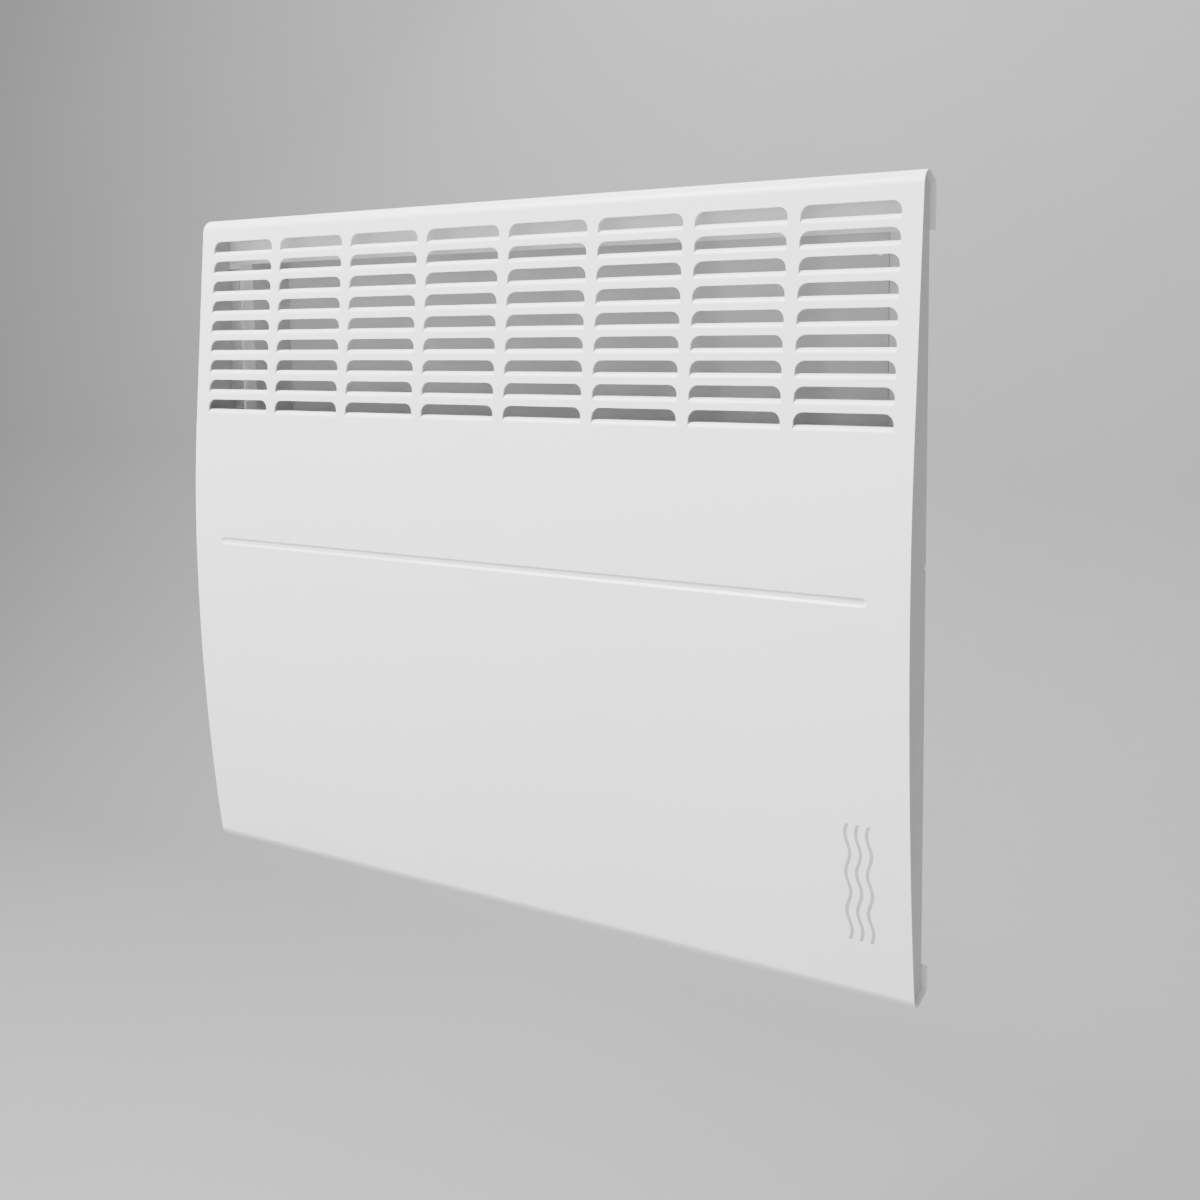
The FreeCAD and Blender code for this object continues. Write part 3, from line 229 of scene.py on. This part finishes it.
FINISHES = {
    "white_enamel": powder_coat("powder_white", (0.83, 0.83, 0.825)),
    "grey_cheek": powder_coat("powder_grey", (0.54, 0.54, 0.54), 0.42),
    "housing_steel": powder_coat("powder_housing", (0.62, 0.62, 0.615), 0.45),
    "zinc_steel": zinc("spangled_zinc"),
    "bright_screw": drawn_metal("nickel_plate", (0.70, 0.70, 0.71), 0.22, (300, 300, 300)),
    "fin_alloy": drawn_metal("rolled_alloy", (0.72, 0.73, 0.75), 0.3, (300, 12, 300)),
    "rod_steel": tempered_steel("tempered_sheath"),
    "ceramic": steatite("glazed_steatite"),
    "brass_parts": drawn_metal("turned_brass", (0.72, 0.53, 0.24), 0.26, (260, 260, 260)),
    "grey_plastic": moulded("moulded_grey", (0.50, 0.50, 0.50), 0.5),
    "white_plastic": moulded("moulded_white", (0.76, 0.76, 0.75), 0.38, 0.000012),
    "black_plastic": moulded("moulded_black", (0.022, 0.022, 0.024), 0.42),
    "pilot_amber": amber("amber_lens"),
    "buffer_rubber": moulded("moulded_rubber", (0.03, 0.03, 0.031), 0.72, 0.00005, 700),
}
INK = printed("grey_ink", (0.36, 0.36, 0.37))
DARK_INK = printed("dark_ink", (0.10, 0.10, 0.105))

NODE_SLOT = {entry["node"]: entry["material_slot"] for entry in frame["record"]["subparts"]}
NODE_BODY = {node: body for body, nodes in frame["record"]["behaviour"]["bodies"].items() for node in nodes}


def dress(thing, finish):
    thing.data.materials.clear()
    thing.data.materials.append(finish)


for node, thing in frame["nodes"].items():
    dress(thing, FINISHES[NODE_SLOT[node]])


# ---- building pieces ----------------------------------------------------------------------------


def piece(name, mesh, finish, body):
    """A new visible piece that rides on a body and takes a slot's finish."""
    made = bpy.data.objects.new(name, mesh)
    bpy.context.scene.collection.objects.link(made)
    dress(made, finish)
    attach(made, body)
    return made


def mesh_from(name, build, smooth=math.radians(35)):
    """A mesh made by a bmesh-building function, smooth except at real edges."""
    mesh = bpy.data.meshes.new(name)
    work = bmesh.new()
    build(work)
    bmesh.ops.recalc_face_normals(work, faces=work.faces)
    work.to_mesh(mesh)
    work.free()
    mesh.shade_smooth()
    mesh.set_sharp_from_angle(angle=smooth)
    return mesh


EDGE_ANGLE = math.radians(28)
FLAT_ANGLE = math.radians(0.4)
MERGE = 0.002 * MM
BEVEL_SEGMENTS = 2


def softened(node, radius, name):
    """The node's own shape with every sharp edge rounded, standing for the node."""
    source = frame["nodes"][node].data

    def build(work):
        work.from_mesh(source)
        bmesh.ops.remove_doubles(work, verts=work.verts, dist=MERGE)
        bmesh.ops.dissolve_limit(work, angle_limit=FLAT_ANGLE, verts=work.verts, edges=work.edges)
        sharp = [edge for edge in work.edges
                 if len(edge.link_faces) == 2 and edge.calc_face_angle(0) > EDGE_ANGLE]
        bmesh.ops.bevel(work, geom=sharp, offset=radius, segments=BEVEL_SEGMENTS, profile=0.5,
                        affect="EDGES", clamp_overlap=True, harden_normals=False)

    slot = NODE_SLOT[node]
    made = piece(name, mesh_from(name, build), FINISHES[slot], NODE_BODY[node])
    weighted = made.modifiers.new("even_shading", "WEIGHTED_NORMAL")
    weighted.keep_sharp = True
    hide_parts(node)
    return made


# each node, the name of the piece that stands for it, and the rounding of its edges in millimetres
SOFTENED = {
    "front_cover": ("cover_sheet", 0.3),
    "left_end_cheek": ("cheek_left_sheet", 0.25),
    "right_end_cheek": ("cheek_right_sheet", 0.25),
    "rear_housing": ("housing_tray", 0.4),
    "housing_floor": ("floor_plate", 0.25),
    "housing_rim": ("rim_strips", 0.25),
    "latch_lips": ("lip_strips", 0.3),
    "hinge_lugs": ("lug_plates", 0.4),
    "wall_bracket": ("bracket_frame", 0.35),
    "wall_buffers": ("buffer_pads", 0.9),
    "intake_guard": ("guard_plate", 0.2),
    "latch_left": ("catch_left", 0.5),
    "latch_right": ("catch_right", 0.5),
    "thermostat_knob": ("knob_fluted", 0.25),
    "dial_plate": ("dial_disc", 0.2),
    "switch_body": ("switch_frame", 0.3),
    "switch_rocker": ("rocker_cap", 0.45),
    "pilot_lens": ("pilot_dome", 0.15),
    "cable_gland": ("gland_body", 0.7),
    "control_box": ("box_shell", 0.5),
    "control_box_lid": ("box_lid", 0.6),
    "thermostat_body": ("regulator_case", 0.6),
    "terminal_block": ("terminal_housing", 0.5),
    "element_hanger_left": ("hanger_plate_left", 0.3),
    "element_hanger_right": ("hanger_plate_right", 0.3),
    "element_bushes": ("bush_rings", 0.5),
    "heat_shield": ("shield_sheet", 0.2),
    "thermal_cutout": ("cutout_disc", 0.3),
    "sensor_clip": ("probe_clip", 0.2),
    "pivot_pins": ("pivot_rods", 0.5),
    "latch_pins": ("catch_rods", 0.4),
}
PIECES = {node: softened(node, radius * MM, name) for node, (name, radius) in SOFTENED.items()}


# ---- detail that the frame leaves out -----------------------------------------------------------


def islands(node):
    """The boxes of a node's separate solids, as (low, high) corners."""
    mesh = frame["nodes"][node].data
    work = bmesh.new()
    work.from_mesh(mesh)
    bmesh.ops.remove_doubles(work, verts=work.verts, dist=MERGE)
    left = set(work.verts)
    found = []
    while left:
        reached, edge = set(), [left.pop()]
        while edge:
            vertex = edge.pop()
            reached.add(vertex)
            for link in vertex.link_edges:
                other = link.other_vert(vertex)
                if other in left:
                    left.discard(other)
                    edge.append(other)
        low = Vector([min(vertex.co[axis] for vertex in reached) for axis in range(3)])
        high = Vector([max(vertex.co[axis] for vertex in reached) for axis in range(3)])
        found.append((low, high))
    work.free()
    return sorted(found, key=lambda corners: tuple(round(number, 5) for number in corners[0]))


def cross_head(work, centre, radius, height, turn):
    """A domed screw head with a cross recess, on a polar grid of rings."""
    rings, segments, crown = 9, 48, 0.75
    arm, reach, depth = 0.17 * radius, 0.62 * radius, 0.55 * height
    step_angle = 2 * math.pi / segments
    middle = work.verts.new(centre + turn @ Vector((0, 0, height - depth)))
    last = None
    for ring in range(1, rings + 1):
        span = radius * ring / rings
        row = []
        for step in range(segments):
            angle = step_angle * (step + 0.5)
            x, y = span * math.cos(angle), span * math.sin(angle)
            lift = height * math.sqrt(max(0.0, 1 - crown * (span / radius) ** 2))
            if min(abs(x), abs(y)) < arm and span < reach:
                lift = height - depth * (1 - 0.5 * span / reach)
            row.append(work.verts.new(centre + turn @ Vector((x, y, lift))))
        for step in range(segments):
            following = (step + 1) % segments
            if last is None:
                work.faces.new((middle, row[step], row[following]))
            else:
                work.faces.new((last[step], row[step], row[following], last[following]))
        last = row
    foot = []
    for step in range(segments):
        angle = step_angle * (step + 0.5)
        foot.append(work.verts.new(centre + turn @ Vector((
            radius * math.cos(angle), radius * math.sin(angle), 0))))
    for step in range(segments):
        following = (step + 1) % segments
        work.faces.new((last[step], foot[step], foot[following], last[following]))
    work.faces.new(foot)


def screw_heads(name, node, facing, head_depth):
    """Cross-recessed heads over a node's screws, driven along Y; facing is the side of the head."""
    turn = Matrix.Rotation(-math.pi / 2 * facing, 3, "X")

    def build(work):
        for low, high in islands(node):
            middle = (low + high) / 2
            radius = (high.x - low.x) / 2
            head_end = high.y if facing > 0 else low.y
            seat = Vector((middle.x, head_end - facing * head_depth, middle.z))
            cross_head(work, seat, radius, head_depth, turn)

    slot = NODE_SLOT[node]
    made = piece(name, mesh_from(name, build), FINISHES[slot], NODE_BODY[node])
    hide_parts(node)


def dial_marks():
    """Raised ticks round the dial and a pointer line on the knob."""
    low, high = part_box("dial_plate")
    centre = (low + high) / 2
    knob_low, knob_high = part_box("thermostat_knob")
    knob_radius = (knob_high.x - knob_low.x) / 2
    ticks, start, sweep = 11, math.radians(120), math.radians(300)
    long_tick, short_tick, tick_gap = 2.2 * MM, 1.4 * MM, 0.6 * MM
    tick_width, tick_height = 0.5 * MM, 0.08 * MM
    line_place, line_length = 0.55 * knob_radius, 0.6 * knob_radius
    line_width, line_height = 1.1 * MM, 0.16 * MM

    def scale(work):
        for tick in range(ticks):
            angle = start - sweep * tick / (ticks - 1)
            long = long_tick if tick % 5 == 0 else short_tick
            turn = Matrix.Rotation(angle, 4, "Z")
            middle = knob_radius + tick_gap + long / 2
            shape = (Matrix.Translation((centre.x, centre.y, high.z))
                     @ turn @ Matrix.Translation((middle, 0, 0))
                     @ Matrix.Diagonal((long, tick_width, tick_height, 1)))
            bmesh.ops.create_cube(work, size=1.0, matrix=shape)

    piece("dial_ticks", mesh_from("dial_ticks", scale), DARK_INK, "heater")

    def pointer(work):
        turn = Matrix.Rotation(start, 4, "Z")
        shape = (Matrix.Translation((centre.x, centre.y, knob_high.z))
                 @ turn @ Matrix.Translation((line_place, 0, 0))
                 @ Matrix.Diagonal((line_length, line_width, line_height, 1)))
        bmesh.ops.create_cube(work, size=1.0, matrix=shape)

    piece("knob_pointer", mesh_from("knob_pointer", pointer), DARK_INK, "knob")


def rocker_marks():
    """One dot at one end of the rocker and two at the other, for its two heating modes."""
    low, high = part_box("switch_rocker")
    middle = (low + high) / 2
    pitch, out, sunk, radius, thickness = 2.4 * MM, 5.6 * MM, 0.75 * MM, 0.7 * MM, 0.3 * MM

    def build(work):
        for side, dots in ((-1, 1), (1, 2)):
            for dot in range(dots):
                across = (dot - (dots - 1) / 2) * pitch
                place = Vector((middle.x + side * out, middle.y + across, high.z - sunk))
                bmesh.ops.create_cone(work, cap_ends=True, segments=20, radius1=radius, radius2=radius,
                                      depth=thickness, matrix=Matrix.Translation(place))

    piece("rocker_dots", mesh_from("rocker_dots", build), DARK_INK, "rocker")


def front_surface(x, level):
    """The front sheet's place and outward direction at a height."""
    sheet = PIECES["front_cover"]
    before_sheet = -0.4
    hit, place, normal, _ = sheet.ray_cast(Vector((x, before_sheet, level)), Vector((0, 1, 0)))
    if not hit:
        raise ValueError("the front sheet was missed")
    return place, normal


def warmth_mark():
    """Three upright wavy lines printed side by side, low down beside the right-hand end."""
    low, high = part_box("front_cover")
    centre_x = high.x - 29 * MM
    amplitude, proud, thickness = 1.3 * MM, 0.04 * MM, 0.12 * MM
    bottom, length, gap, width = low.z + 36 * MM, 68 * MM, 6.2 * MM, 2.0 * MM
    steps, waves = 60, 3

    def build(work):
        for line in range(3):
            last = None
            for step in range(steps + 1):
                share = step / steps
                level = bottom + length * share
                sway = amplitude * math.sin(2 * math.pi * waves * share)
                x = centre_x + (line - 1) * gap + sway
                pair = []
                for side in (-1, 1):
                    place, normal = front_surface(x + side * width / 2, level)
                    pair.append(work.verts.new(place + normal * proud))
                if last:
                    work.faces.new((last[0], last[1], pair[1], pair[0]))
                last = pair
        made = bmesh.ops.extrude_face_region(work, geom=list(work.faces))
        moved = [thing for thing in made["geom"] if isinstance(thing, bmesh.types.BMVert)]
        bmesh.ops.translate(work, verts=moved, vec=(0, thickness, 0))

    piece("warmth_mark", mesh_from("warmth_mark", build), INK, "heater")


def housing_beads():
    """Stiffening beads pressed out of the tray's back, between the bracket's uprights and beside them."""
    low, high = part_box("rear_housing")
    rail_low, rail_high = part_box("wall_bracket")
    width, rise, sunk, steps = 12 * MM, 2.6 * MM, 0.02 * MM, 10
    outer, inner, margin = 45 * MM, 38 * MM, 60 * MM
    narrowest, short_run = 0.35, 0.3 * width
    places = (rail_low.x - outer, -inner, inner, rail_high.x + outer)
    bottom, top = low.z + margin, high.z - margin

    def build(work):
        for x in places:
            rows = []
            levels = [bottom, bottom + short_run, bottom + width, top - width, top - short_run, top]
            heights = [0, 0.7, 1, 1, 0.7, 0]
            for level, share in zip(levels, heights):
                row = []
                for step in range(steps + 1):
                    across = -1 + 2 * step / steps
                    swell = (1 + math.cos(math.pi * across)) / 2
                    half_width = width / 2 * (narrowest + (1 - narrowest) * share)
                    row.append(work.verts.new((x + across * half_width,
                                               high.y + rise * swell * share - sunk, level)))
                rows.append(row)
            for below, above in zip(rows, rows[1:]):
                for step in range(steps):
                    work.faces.new((below[step], below[step + 1], above[step + 1], above[step]))

    piece("housing_beads", mesh_from("housing_beads", build, math.radians(80)),
          FINISHES["housing_steel"], "heater")


COVER_HEAD, LID_HEAD = 2.0 * MM, 1.4 * MM
screw_heads("cover_screw_heads", "cover_screws", 1, COVER_HEAD)
screw_heads("lid_screw_heads", "lid_screws", -1, LID_HEAD)
dial_marks()
rocker_marks()
warmth_mark()
housing_beads()


# ---- stage, light and camera --------------------------------------------------------------------


def stage():
    """A pale floor that turns up into a backdrop well behind the heater."""
    half_width, front, turn, back, floor, top = 4.0, -3.0, 1.1, 1.9, -0.95, 3.2
    steps = 24
    profile = [(front, floor), (turn, floor)]
    radius = back - turn
    for step in range(1, steps + 1):
        angle = math.pi / 2 * step / steps
        profile.append((turn + radius * math.sin(angle), floor + radius * (1 - math.cos(angle))))
    profile.append((back, top))
    corners = [(side * half_width, y, z) for y, z in profile for side in (-1, 1)]
    faces = [(2 * i, 2 * i + 1, 2 * i + 3, 2 * i + 2) for i in range(len(profile) - 1)]
    mesh = bpy.data.meshes.new("backdrop")
    mesh.from_pydata(corners, [], faces)
    mesh.shade_smooth()
    made = bpy.data.objects.new("backdrop", mesh)
    bpy.context.scene.collection.objects.link(made)
    paper = Finish("backdrop_paper")
    paper.tinted(paper.noise(2.0, 3.0), (0.31, 0.302, 0.304), 0.015)
    paper.roughness(paper.noise(40, 3.0), 0.85, 0.95)
    dress(made, paper.material)


def area_light(name, place, target, extent, power, colour=(1, 1, 1)):
    data = bpy.data.lights.new(name, "AREA")
    data.shape = "RECTANGLE"
    data.size, data.size_y = extent
    data.energy = power
    data.color = colour
    made = bpy.data.objects.new(name, data)
    made.location = place
    made.rotation_euler = (Vector(target) - Vector(place)).to_track_quat("-Z", "Y").to_euler()
    bpy.context.scene.collection.objects.link(made)


def lights():
    centre = (0, -0.06, 0)
    area_light("key_above", (-0.9, -1.3, 2.1), centre, (0.8, 0.8), 300)
    area_light("fill_front", (0.2, -2.6, 0.2), centre, (1.6, 1.6), 32)
    area_light("side_right", (2.2, 0.4, 0.6), centre, (1.2, 1.6), 3)
    area_light("rear_soft", (-0.9, 1.5, 1.7), centre, (2.0, 1.0), 45)
    world = bpy.data.worlds.new("studio")
    world.use_nodes = True
    world.node_tree.nodes["Background"].inputs["Color"].default_value = (0.9, 0.92, 0.95, 1)
    world.node_tree.nodes["Background"].inputs["Strength"].default_value = 0.6
    bpy.context.scene.world = world


def camera():
    """The camera stands to the right, at about the height of the louvres, and looks a little down."""
    data = bpy.data.cameras.new("camera")
    data.sensor_width = 36.0
    data.lens = 39.13
    data.shift_x = -0.01775
    data.shift_y = -0.123
    data.clip_start, data.clip_end = 0.05, 50
    made = bpy.data.objects.new("camera", data)
    yaw, pitch, roll = math.radians(30.18), math.radians(-5.04), math.radians(0.53)
    turn = Matrix.Rotation(yaw, 4, "Z") @ Matrix.Rotation(pitch, 4, "X") @ Matrix.Rotation(roll, 4, "Y")
    aim = turn @ Matrix.Rotation(math.pi / 2, 4, "X")
    made.matrix_world = Matrix.Translation((0.4708, -0.7503, 0.1401)) @ aim
    bpy.context.scene.collection.objects.link(made)
    bpy.context.scene.camera = made


stage()
lights()
camera()
